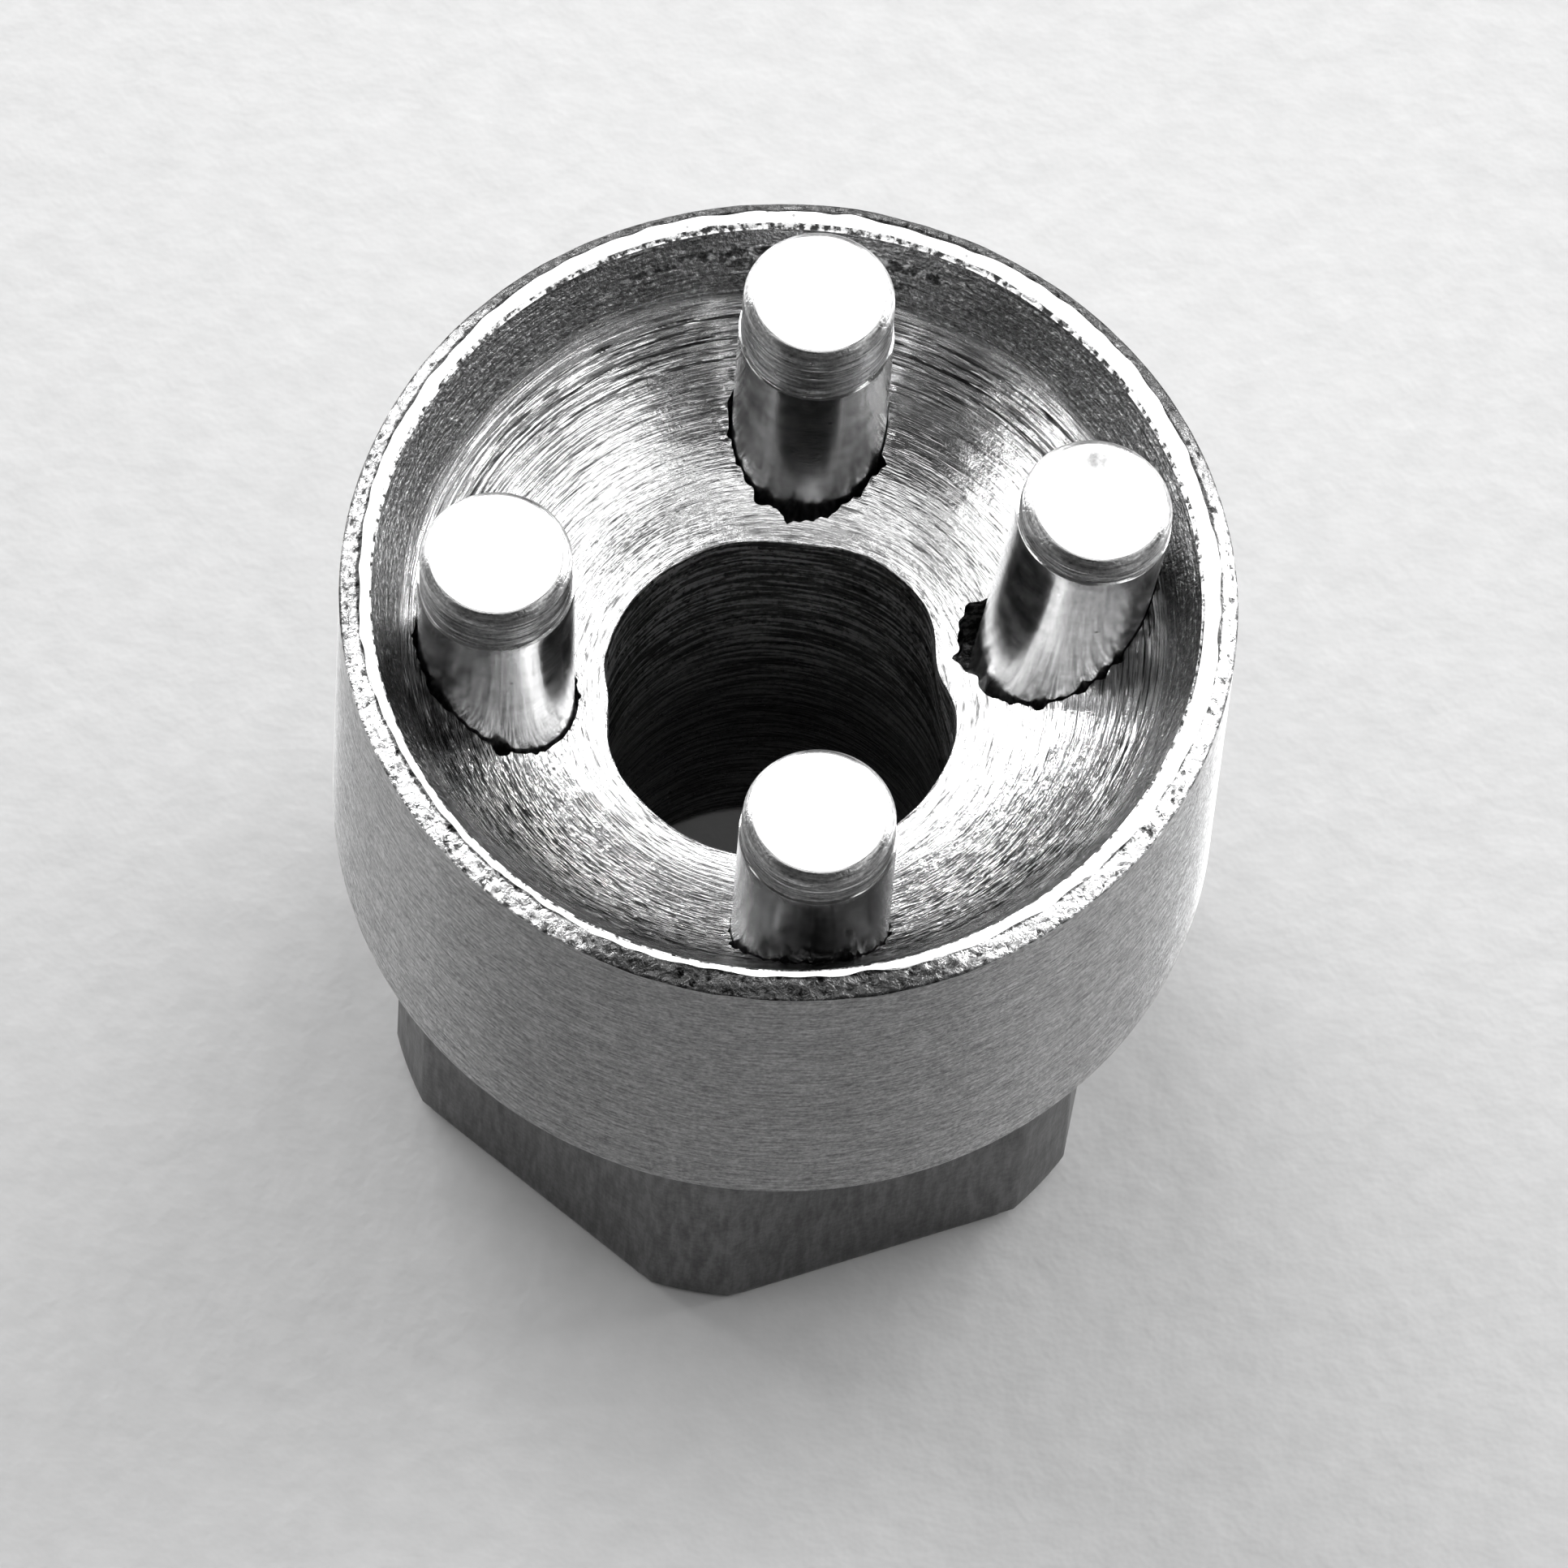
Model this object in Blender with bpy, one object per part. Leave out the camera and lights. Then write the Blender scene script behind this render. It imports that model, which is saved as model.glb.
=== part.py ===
"""Case back opener head: a watchmaker's pin wrench for a 17 mm spanner.

One turned and milled steel body (round cup on a hexagon) carries four ground
steel pins pressed into blind holes in the cup's floor.  The hexagon is gripped
by a 17 mm spanner or socket and the pin tips drop into the pockets of a screwed
watch case back.

Frame: origin at the centre of the hexagon's bottom face, +Z towards the pins,
+X square to one pair of hexagon flats.  All sizes below are in millimetres.
"""
import math

import bmesh
import bpy
from mathutils import Matrix, Vector

MM = 0.001

# ---------------------------------------------------------------- hexagon base
HEX_ACROSS_FLATS = 17.0      # standard spanner size
HEX_HEIGHT = 9.25            # bottom face to the underside of the cup
HEX_CORNER_RADIUS = 9.30     # the bar was turned to this before the flats were milled
HEX_FOOT_CHAMFER = 0.25      # small break round the bottom face

# ---------------------------------------------------------------- round cup
CUP_RADIUS = 10.86
CUP_OFFSET = (0.02, 0.10)     # the outer wall was turned in a second chucking, a little off centre
CUP_TOP = 20.08              # height of the rim's flat land
RIM_BEVEL_WIDTH = 0.40       # rough bevel filed round the rim's outer corner
RIM_BEVEL_DROP = 0.27
CUP_HEEL_BREAK = 0.08        # lower corner of the cup's wall
RIM_INNER_RADIUS = 10.08     # the flat land runs from here to the bevel
CUP_SEGMENTS = 72

# Dish inside the cup: height = DISH_FLOOR + DISH_RISE * ((r - R0) / (RIM - R0)) ** POWER
DISH_FLOOR = 14.75
DISH_START_RADIUS = 4.00
DISH_POWER = 2.2
DISH_STEPS = 9

# ---------------------------------------------------------------- centre bore
BORE_RADIUS = 4.30           # runs right through, dish floor to bottom face
BORE_SEGMENTS = 48

# ---------------------------------------------------------------- pins
PIN_RADIUS = 1.90
PIN_TIP_RADIUS = 1.60        # flat end, inside the chamfer
PIN_TOP = 22.45              # tips stand 2.4 above the rim
PIN_BOTTOM = 11.00
PIN_CHAMFER = 0.30
PIN_SEGMENTS = 32
PIN_CLEARANCE = 0.05         # modelling gap standing in for the press fit
HOLE_BOTTOM = 10.90

# name, turned tip length, pitch radius at the tip, angle at the tip,
# lean from vertical (degrees), direction the lean points to (degrees)
PINS = (
    ("pin_right", 0.75, 7.56, 22.3, 5.2, 17.0),
    ("pin_rear", 1.90, 7.07, 94.9, 0.0, 0.0),
    ("pin_left", 1.40, 7.09, 192.2, 1.4, 190.0),
    ("pin_front", 1.05, 7.07, 285.9, 0.0, 0.0),
)

STEEL_TURNED = (0.60, 0.60, 0.61, 1.0)
STEEL_GROUND = (0.74, 0.74, 0.75, 1.0)


# ---------------------------------------------------------------- helpers
def clear_scene():
    for obj in list(bpy.data.objects):
        bpy.data.objects.remove(obj, do_unlink=True)


def make_material(name, colour, roughness):
    mat = bpy.data.materials.new(name)
    mat.use_nodes = True
    bsdf = mat.node_tree.nodes["Principled BSDF"]
    bsdf.inputs["Base Color"].default_value = colour
    bsdf.inputs["Metallic"].default_value = 1.0
    bsdf.inputs["Roughness"].default_value = roughness
    mat.diffuse_color = colour
    return mat


def link_mesh(name, bm, material=None, sharp_deg=30.0):
    mesh = bpy.data.meshes.new(name)
    bmesh.ops.recalc_face_normals(bm, faces=bm.faces)
    bm.to_mesh(mesh)
    bm.free()
    mesh.shade_smooth()
    mesh.set_sharp_from_angle(angle=math.radians(sharp_deg))
    obj = bpy.data.objects.new(name, mesh)
    bpy.context.scene.collection.objects.link(obj)
    if material is not None:
        mesh.materials.append(material)
    return obj


def turned(profile, segments, phase=0.0, offset=(0.0, 0.0), offset_beyond=1e9):
    """Solid of revolution about Z from (radius, height) pairs in mm, top to bottom.

    The first and the last pair lie on the axis.  Rings wider than offset_beyond
    are centred on offset instead of on the axis.
    """
    bm = bmesh.new()
    rings = []
    for r, z in profile:
        if r < 1e-9:
            rings.append([bm.verts.new((0.0, 0.0, z * MM))])
            continue
        ring = []
        cx, cy = offset if r > offset_beyond else (0.0, 0.0)
        for k in range(segments):
            a = phase + 2.0 * math.pi * k / segments
            ring.append(bm.verts.new(((cx + r * math.cos(a)) * MM, (cy + r * math.sin(a)) * MM, z * MM)))
        rings.append(ring)
    for upper, lower in zip(rings, rings[1:]):
        for k in range(segments):
            n = (k + 1) % segments
            if len(upper) == 1:
                bm.faces.new((upper[0], lower[k], lower[n]))
            elif len(lower) == 1:
                bm.faces.new((upper[k], lower[0], upper[n]))
            else:
                bm.faces.new((upper[k], lower[k], lower[n], upper[n]))
    return bm


def as_cutter(obj):
    obj.hide_render = True
    obj.display_type = 'WIRE'
    return obj


def boolean(obj, operand, operation):
    mod = obj.modifiers.new(operation.lower() + "_" + operand.name, 'BOOLEAN')
    mod.operation = operation
    mod.solver = 'EXACT'
    mod.object = operand
    return mod


# ---------------------------------------------------------------- profiles
def dish_height(r):
    rise = CUP_TOP - DISH_FLOOR
    u = max(0.0, (r - DISH_START_RADIUS) / (RIM_INNER_RADIUS - DISH_START_RADIUS))
    return DISH_FLOOR + rise * u ** DISH_POWER


def cup_profile():
    pts = [(0.0, DISH_FLOOR), (DISH_START_RADIUS - 1.0, DISH_FLOOR)]
    for k in range(1, DISH_STEPS + 1):
        r = DISH_START_RADIUS + (RIM_INNER_RADIUS - DISH_START_RADIUS) * k / DISH_STEPS
        pts.append((r, dish_height(r)))
    pts.append((CUP_RADIUS - RIM_BEVEL_WIDTH, CUP_TOP))
    pts.append((CUP_RADIUS, CUP_TOP - RIM_BEVEL_DROP))
    pts.append((CUP_RADIUS, HEX_HEIGHT + CUP_HEEL_BREAK))
    pts.append((CUP_RADIUS - CUP_HEEL_BREAK, HEX_HEIGHT))
    pts.append((0.0, HEX_HEIGHT))
    return pts


def pin_frame(pitch_radius, angle_deg, lean_deg, lean_dir_deg):
    """Matrix that stands a pin, made along Z with its tip at z = 0, in its place."""
    a = math.radians(angle_deg)
    tip = Vector((pitch_radius * math.cos(a), pitch_radius * math.sin(a), PIN_TOP)) * MM
    d = math.radians(lean_dir_deg)
    axis = Vector((-math.sin(d), math.cos(d), 0.0))
    lean = Matrix.Rotation(math.radians(lean_deg), 4, axis)
    # the raised edge of a leaning tip stays level with the others
    drop = PIN_TIP_RADIUS * math.sin(math.radians(lean_deg)) * MM
    return Matrix.Translation(tip - Vector((0.0, 0.0, drop))) @ lean


# ---------------------------------------------------------------- build
def build_body(material):
    body = link_mesh("opener_body", turned(cup_profile(), CUP_SEGMENTS, 0.0, CUP_OFFSET, RIM_INNER_RADIUS + 0.01), material)

    # hexagon, flats square to +X and -X, let a little way up into the cup
    bm = bmesh.new()
    bmesh.ops.create_cone(
        bm, cap_ends=True, segments=6,
        radius1=HEX_ACROSS_FLATS / math.sqrt(3.0) * MM,
        radius2=HEX_ACROSS_FLATS / math.sqrt(3.0) * MM,
        depth=(HEX_HEIGHT + 1.0) * MM,
        matrix=Matrix.Translation((0.0, 0.0, (HEX_HEIGHT + 1.0) * MM / 2.0)))
    # create_cone starts on an axis direction: turn until a flat faces +X
    nearest = max(bm.faces, key=lambda f: f.normal.x)
    turn = -math.atan2(nearest.normal.y, nearest.normal.x)
    bmesh.ops.rotate(bm, verts=bm.verts, matrix=Matrix.Rotation(turn, 3, 'Z'))
    hexagon = as_cutter(link_mesh("shape_hexagon", bm))

    # turned blank that rounds the hexagon's corners and breaks its foot
    blank = [(0.0, HEX_HEIGHT + 3.0),
             (HEX_CORNER_RADIUS, HEX_HEIGHT + 3.0),
             (HEX_CORNER_RADIUS, HEX_FOOT_CHAMFER),
             (HEX_CORNER_RADIUS - HEX_FOOT_CHAMFER, 0.0),
             (0.0, 0.0)]
    blank_obj = as_cutter(link_mesh("shape_hexagon_blank", turned(blank, 144)))
    blank_obj.location.z = -0.00001     # the hexagon's own face makes the foot
    boolean(hexagon, blank_obj, 'INTERSECT')
    boolean(body, hexagon, 'UNION')

    bore = [(0.0, CUP_TOP + 4.0), (BORE_RADIUS, CUP_TOP + 4.0), (BORE_RADIUS, -2.0), (0.0, -2.0)]
    boolean(body, as_cutter(link_mesh("shape_bore", turned(bore, BORE_SEGMENTS))), 'DIFFERENCE')

    for name, _tip, radius, angle, lean, lean_dir in PINS:
        depth = PIN_TOP - HOLE_BOTTOM
        hole = [(0.0, 2.0), (PIN_RADIUS + PIN_CLEARANCE, 2.0),
                (PIN_RADIUS + PIN_CLEARANCE, -depth), (0.0, -depth)]
        cutter = as_cutter(link_mesh("shape_hole_" + name, turned(hole, PIN_SEGMENTS)))
        cutter.matrix_world = pin_frame(radius, angle, lean, lean_dir)
        boolean(body, cutter, 'DIFFERENCE')
    return body


def build_pin(name, turned_tip, radius, angle, lean, lean_dir, material):
    length = PIN_TOP - PIN_BOTTOM
    neck = PIN_RADIUS - 0.06      # the tip is turned down a hair below the ground shank
    profile = [(0.0, 0.0),
               (PIN_TIP_RADIUS, 0.0),
               (neck, -PIN_CHAMFER),
               (neck, -turned_tip),
               (PIN_RADIUS, -turned_tip - 0.06),
               (PIN_RADIUS, -length + 0.2),
               (PIN_RADIUS - 0.2, -length),
               (0.0, -length)]
    pin = link_mesh(name, turned(profile, PIN_SEGMENTS), material)
    pin.matrix_world = pin_frame(radius, angle, lean, lean_dir)
    return pin


def main():
    clear_scene()
    bpy.context.scene.unit_settings.system = 'METRIC'
    bpy.context.scene.unit_settings.length_unit = 'MILLIMETERS'
    turned_steel = make_material("turned_steel", STEEL_TURNED, 0.34)
    ground_steel = make_material("ground_steel", STEEL_GROUND, 0.16)
    build_body(turned_steel)
    for name, turned_tip, radius, angle, lean, lean_dir in PINS:
        build_pin(name, turned_tip, radius, angle, lean, lean_dir, ground_steel)


main()
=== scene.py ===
"""Looks of the case back opener head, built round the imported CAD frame.

Everything is in metres in the CAD frame; MM turns millimetres into metres.
"""
import math

import bmesh
import bpy
import numpy as np
from mathutils import Matrix, Vector


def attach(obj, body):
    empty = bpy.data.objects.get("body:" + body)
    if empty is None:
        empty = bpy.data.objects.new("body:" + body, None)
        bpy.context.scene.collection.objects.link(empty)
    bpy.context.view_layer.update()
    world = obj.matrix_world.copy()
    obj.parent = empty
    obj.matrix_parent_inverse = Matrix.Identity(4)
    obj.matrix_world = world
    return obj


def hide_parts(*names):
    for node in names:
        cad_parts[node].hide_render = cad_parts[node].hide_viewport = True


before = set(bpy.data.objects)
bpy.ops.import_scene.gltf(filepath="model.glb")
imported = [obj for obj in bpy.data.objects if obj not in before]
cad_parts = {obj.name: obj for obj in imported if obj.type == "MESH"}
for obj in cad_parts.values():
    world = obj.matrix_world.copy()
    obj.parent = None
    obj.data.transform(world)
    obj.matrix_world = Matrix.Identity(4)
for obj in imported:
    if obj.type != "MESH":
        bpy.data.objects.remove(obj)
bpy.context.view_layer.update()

MM = 0.001
RNG = np.random.default_rng(20260817)
scene = bpy.context.scene
scene.view_settings.view_transform = 'Standard'
scene.view_settings.look = 'None'
scene.view_settings.exposure = 0.0
scene.view_settings.gamma = 1.0

# ------------------------------------------------------------------ camera
# Stand-point and direction of the original view, in the CAD frame: azimuth
# about 6 degrees, 60.5 degrees above the horizon, rolled a little, 0.42 m away.
TURN = math.radians(6.3)
ELEV = math.radians(60.49)
ROLL = math.radians(4.68)
T_CAM = np.array([-1.56, 22.11, 418.39])
ZOOM = 2.05
AIM = np.array([0.35, -0.55, 11.3])     # point that lands in the middle of the frame, mm


def make_camera():
    fwd = np.array([0.0, math.cos(ELEV), -math.sin(ELEV)])
    right = np.array([1.0, 0.0, 0.0])
    rows = np.array([right, np.cross(fwd, right), fwd])
    c, s = math.cos(ROLL), math.sin(ROLL)
    rot = np.array([[c, -s, 0], [s, c, 0], [0, 0, 1.0]]) @ rows
    centre = -rot.T @ T_CAM
    ct, st = math.cos(TURN), math.sin(TURN)
    turn = np.array([[ct, -st, 0], [st, ct, 0], [0, 0, 1.0]])
    centre = turn @ centre
    rot = rot @ turn.T
    # swing the optical axis onto the object without changing the roll
    d = rot @ (AIM - centre)
    d /= np.linalg.norm(d)
    axis = np.cross(d, (0, 0, 1.0))
    ang = math.asin(min(1.0, np.linalg.norm(axis)))
    swing = np.array(Matrix.Rotation(ang, 3, Vector(axis)).to_3x3())
    rot = swing @ rot
    data = bpy.data.cameras.new("view_camera")
    data.lens = 36.0 * 9999.0 / 1932.0 * ZOOM
    data.sensor_width = 36.0
    data.clip_start = 0.01
    data.clip_end = 20.0
    cam = bpy.data.objects.new("view_camera", data)
    scene.collection.objects.link(cam)
    m = Matrix.Identity(4)
    for k in range(3):
        m[k][0], m[k][1], m[k][2] = rot[0][k], -rot[1][k], -rot[2][k]
        m[k][3] = centre[k] * MM
    cam.matrix_world = m
    scene.camera = cam
    return cam


camera = make_camera()

# ------------------------------------------------------------------ sizes (mm)
A_F = 17.0
HEX_H = 9.25
HEX_CORNER = 8.5 / math.cos(math.radians(24.0))
CUP_R = 10.86
CUP_OFF = (0.02, 0.10)       # the outer wall is a little off centre
CUP_TOP = 20.08
LAND_IN = 10.08
BEVEL_W, BEVEL_D = 0.40, 0.27
DISH_FLOOR, DISH_R0, DISH_POW = 14.75, 4.00, 2.2
BORE_R = 4.36
PIN_R = 1.90
PIN_TIP_R = 1.60
PIN_TOP = 22.45
PIN_BOTTOM = 11.00
PINS = {   # turned tip, pitch radius at tip, angle, lean, lean direction
    "pin_right": (0.75, 7.56, 22.3, 5.2, 17.0),
    "pin_rear": (1.90, 7.07, 94.9, 0.0, 0.0),
    "pin_left": (1.40, 7.09, 192.2, 1.4, 190.0),
    "pin_front": (1.05, 7.07, 285.9, 0.0, 0.0),
}
N = 480                      # columns round the body
THETA = 2 * np.pi * np.arange(N) / N


def pin_matrix(name):
    """Pin's own frame (tip centre at 0, +Z out of the tip) in mm."""
    _t, radius, angle, lean, lean_dir = PINS[name]
    a, d = math.radians(angle), math.radians(lean_dir)
    drop = PIN_TIP_R * math.sin(math.radians(lean))
    tip = Vector((radius * math.cos(a), radius * math.sin(a), PIN_TOP - drop))
    return Matrix.Translation(tip) @ Matrix.Rotation(math.radians(lean), 4, Vector((-math.sin(d), math.cos(d), 0)))


# ------------------------------------------------------------------ noise helpers
def ring_noise(rows, sigma, rng=RNG, n=N):
    """rows x n random numbers, periodic and smooth along each row, unit variance."""
    raw = rng.standard_normal((rows, n))
    k = np.fft.rfftfreq(n, 1.0 / n)
    out = np.fft.irfft(np.fft.rfft(raw, axis=1) * np.exp(-0.5 * (k * sigma * 2 * np.pi / n) ** 2), n, axis=1)
    return out / np.maximum(out.std(axis=1, keepdims=True), 1e-9)


def smooth_rows(a, w):
    """Gaussian smoothing down the rows (not periodic)."""
    if w <= 0:
        return a
    h = int(4 * w) + 1
    x = np.arange(-h, h + 1)
    g = np.exp(-0.5 * (x / w) ** 2)
    g /= g.sum()
    p = np.pad(a, ((h, h), (0, 0)), mode='edge')
    return sum(g[i] * p[i:i + a.shape[0]] for i in range(len(g)))


def patch_noise(rows, sr, st, rng=RNG, n=N):
    out = smooth_rows(ring_noise(rows, st, rng, n), sr)
    return out / max(out.std(), 1e-9)


def ang_diff(a, b):
    return (a - b + np.pi) % (2 * np.pi) - np.pi


def bump_at(theta, deg, width_deg):
    return np.exp(-(ang_diff(theta, math.radians(deg)) / math.radians(width_deg)) ** 2)


# ------------------------------------------------------------------ body mesh
def dish_z(r):
    u = np.maximum(0.0, (r - DISH_R0) / (LAND_IN - DISH_R0))
    return DISH_FLOOR + (CUP_TOP - DISH_FLOOR) * u ** DISH_POW


def bore_radius(theta):
    """The bore's mouth: near round, pushed in opposite each pin hole."""
    r = np.full_like(theta, 4.42)
    r -= 0.47 * bump_at(theta, 23.5, 15) + 0.15 * bump_at(theta, 94.5, 15)
    r -= 0.25 * bump_at(theta, 192.5, 13) + 0.17 * bump_at(theta, 285.5, 15)
    r += 0.07 * bump_at(theta, 60.0, 14)
    return r


def hex_radius(theta):
    k = np.round((theta - 0.0) / (np.pi / 3)) * (np.pi / 3)
    return np.minimum((A_F / 2) / np.cos(ang_diff(theta, k)), HEX_CORNER)


def burrs(r, theta):
    """Metal thrown up round the pin holes: lift (mm) at each point of a row."""
    x, y = r * np.cos(theta), r * np.sin(theta)
    lift = np.zeros_like(theta)
    for k, name in enumerate(sorted(PINS)):
        m = pin_matrix(name)
        base = m @ Vector((0, 0, -6.0))
        dx, dy = x - base.x, y - base.y
        d = np.hypot(dx, dy) - (PIN_R + 0.06)
        a = np.arctan2(dy, dx)
        teeth = np.sin(23 * a + 3 * k + 2.0 * np.sin(5 * a + k)) * 0.5 + np.sin(41 * a + k) * 0.35 + 0.25
        amp = 0.060 * np.exp(-(np.maximum(d, 0) / 0.12) ** 2) * (d > -0.5)
        lift += amp * np.maximum(teeth, -0.3)
    return lift


def build_body():
    """A closed grid: rows follow the section from the bore's foot up, over the
    dish and rim, down the wall and hexagon and back in under the foot."""
    rows_r, rows_z, zone = [], [], []

    def add(r, z, name):
        rows_r.append(np.broadcast_to(np.asarray(r, float), (N,)).copy())
        rows_z.append(np.broadcast_to(np.asarray(z, float), (N,)).copy())
        zone.append(name)

    rb = bore_radius(THETA)
    plain = np.full(N, BORE_R)
    ovalness = ring_noise(1, 30)[0] * 0.01
    ecc = CUP_OFF[0] * np.cos(THETA) + CUP_OFF[1] * np.sin(THETA)

    # bore wall, foot to mouth, with the drill's rings
    zb = np.concatenate([[0.30], np.arange(1.0, 8.4, 1.0), np.arange(8.5, 14.62, 0.19)])
    fade = lambda z: np.clip((z - 8.5) / (14.7 - 8.5), 0, 1) ** 1.5
    add(plain + 0.30, 0.0, "foot")
    ringing = ring_noise(len(zb), 40) * 0.006 + RNG.standard_normal((len(zb), 1)) * 0.012
    for i, z in enumerate(zb):
        f = fade(z)
        groove = 0.010 * math.sin(2 * math.pi * z / 0.57)
        add(plain * (1 - f) + rb * f + ovalness + (ringing[i] + groove if 0.6 < z < 14.5 else 0), z, "bore")
    # mouth: a small worn radius
    mouth = ring_noise(1, 5)[0] * 0.008
    for a in (25, 60):
        t = math.radians(a)
        add(rb + 0.05 * (1 - math.cos(t)) + mouth, DISH_FLOOR - 0.05 * (1 - math.sin(t)), "bore")

    # dish, equal steps along the section
    rr = np.linspace(4.48, LAND_IN - 0.02, 2000)
    arc = np.concatenate([[0], np.cumsum(np.hypot(np.diff(rr), np.diff(dish_z(rr))))])
    steps = 114
    crowd = np.cumsum(1.0 / np.where((rr > 8.12) & (rr < 9.12), 0.030, 0.082) * np.gradient(arc))
    base = np.interp(np.linspace(crowd[0], crowd[-1], steps), crowd, rr)
    slope = np.gradient(dish_z(rr), rr)
    slope = np.interp(base, rr, slope)
    nr, nz = -slope / np.hypot(1, slope), 1 / np.hypot(1, slope)
    # turning marks: every row has its own depth, coming and going round the ring
    fine = RNG.standard_normal((steps, 1)) * 0.0030 + ring_noise(steps, 5) * 0.0040 * (0.4 + np.abs(patch_noise(steps, 2, 14)))
    fine += patch_noise(steps, 0.7, 2.2) * 0.0030
    inner = np.clip((9.2 - base) / 0.8, 0, 1)[:, None]
    fine *= 0.45 + 0.55 * inner
    chatter = np.zeros((steps, N))
    for r0, w, depth, arcs in ((8.26, 0.036, 0.024, ((138, 30), (60, 25), (-35, 25))),
                               (8.40, 0.030, 0.024, ((145, 34), (52, 30), (-38, 22))),
                               (8.55, 0.038, 0.036, ((136, 40), (62, 32), (-30, 35))),
                               (8.72, 0.034, 0.034, ((150, 34), (45, 30), (-25, 30))),
                               (8.88, 0.040, 0.042, ((142, 42), (52, 34), (-14, 38)))):
        mod = 0.10 + sum(bump_at(THETA, c, ww) for c, ww in arcs)
        mod = np.minimum(mod, 1.1) * np.clip(1 + 0.75 * ring_noise(1, 2.6)[0], 0.0, 1.9)
        wander = r0 + 0.022 * ring_noise(1, 25)[0]
        chatter -= 0.62 * depth * np.exp(-((base[:, None] - wander) / w) ** 2) * mod
    for r0, arcs in ((8.66, ((140, 48), (50, 34))), (9.02, ((150, 44), (40, 30)))):
        mod = np.minimum(0.05 + sum(bump_at(THETA, c, ww) for c, ww in arcs), 1.0)
        chatter += 0.020 * np.exp(-((base[:, None] - r0 - 0.010 * ring_noise(1, 30)[0]) / 0.028) ** 2) * mod
    coarse = patch_noise(steps, 5, 22) * 0.0035
    lift = fine + chatter + coarse
    lift[0] *= 0.2
    r_in = rb + 0.06
    rim_in = LAND_IN + (-0.03 * np.cos(THETA) + 0.03 * np.sin(THETA)) - 0.035 * np.cos(2 * THETA)
    for i in range(steps):
        pull = max(0.0, 1 - i / 10.0) ** 1.5
        push = (base[i] - 7.0) / (LAND_IN - 7.0) if base[i] > 7.0 else 0.0
        r = base[i] + (r_in - 4.48) * pull + (rim_in - LAND_IN) * push
        z = dish_z(base[i]) - 0.015 * (i == 0)
        if i < steps - 1:
            up = lift[i] + burrs(r, THETA)
        else:
            up = lift[i] * 0.3
        add(r + nr[i] * up, np.minimum(z + nz[i] * up, CUP_TOP - 0.012), "dish")

    # rim: flat land, ragged both sides, then the rough bevel
    chips = np.abs(ring_noise(1, 1.6)[0]) * 0.018 * (0.12 + bump_at(THETA, 95, 50) * 1.5) + ring_noise(1, 12)[0] * 0.012
    jag_out = ring_noise(1, 1.4)[0] * 0.022 + ring_noise(1, 7)[0] * 0.025
    nick = np.abs(ring_noise(1, 1.2)[0]) * 0.016 * (0.06 + bump_at(THETA, 95, 45))
    inner_edge = rim_in + 0.035 + 0.075 * bump_at(THETA, 95, 60) + chips
    add(rim_in + 0.30 * (inner_edge - rim_in), CUP_TOP - 0.030 - nick, "nicks")
    add(rim_in + 0.65 * (inner_edge - rim_in), CUP_TOP - 0.014 - nick[::-1], "nicks")
    add(inner_edge, CUP_TOP - 0.001, "land")
    flat = ring_noise(4, 10) * 0.0005
    wall_r = CUP_R + ecc
    bevel_w = BEVEL_W + 0.01 - 0.085 * np.sin(THETA)      # filed wider at the front than at the back
    edge = wall_r - bevel_w + jag_out
    for k, t in enumerate((0.3, 0.65)):
        add(inner_edge + (edge - inner_edge) * t, CUP_TOP - 0.001 + flat[k], "land")
    add(edge - 0.015, CUP_TOP - 0.001 + flat[2], "land")
    nb = 10
    rough = RNG.standard_normal((nb + 1, N)) * 0.010 + patch_noise(nb + 1, 0.8, 1.4) * 0.017 + patch_noise(nb + 1, 1.4, 5) * 0.008
    blobs = patch_noise(nb + 1, 1.6, 2.6) * 0.022 * (bump_at(THETA, -135, 28) + bump_at(THETA, -40, 30))
    for k in range(nb + 1):
        t = k / nb
        bulge = 0.035 * math.sin(math.pi * t)
        amp = math.sin(math.pi * min(max(t * 0.9 + 0.08, 0), 1))
        out = 0.75 * (bulge + (rough[k] + blobs[k]) * amp)
        r = edge + (wall_r - edge) * t + 0.56 * out
        z = CUP_TOP - 0.004 - (BEVEL_D - 0.004) * t + 0.83 * out
        r = np.minimum(r, wall_r)
        z = np.minimum(z, CUP_TOP)
        if k == nb:
            r = wall_r
            z = z + ring_noise(1, 1.8)[0] * 0.014 + ring_noise(1, 9)[0] * 0.016
        add(r, z, "bevel")

    # side wall with a shallow turned waviness
    zs = np.linspace(CUP_TOP - BEVEL_D - 0.09, HEX_H + 0.16, 9)
    wav = RNG.standard_normal((len(zs), 1)) * 0.0006 + patch_noise(len(zs), 2, 20) * 0.0010
    for i, z in enumerate(zs):
        add(wall_r - 0.003 + np.minimum(wav[i], 0.003), z, "wall")
    # heel and shoulder under the cup
    add(wall_r - 0.010, HEX_H + 0.07, "wall")
    add(wall_r - 0.035, HEX_H + 0.018, "wall")
    add(wall_r - 0.085, HEX_H, "wall")
    rh = hex_radius(THETA)
    for t in (0.33, 0.66):
        add(wall_r - 0.085 + (rh + 0.10 - wall_r + 0.085) * t, HEX_H, "shoulder")
    add(rh + 0.10, HEX_H, "shoulder")
    add(rh + 0.03, HEX_H - 0.03, "shoulder")
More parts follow.
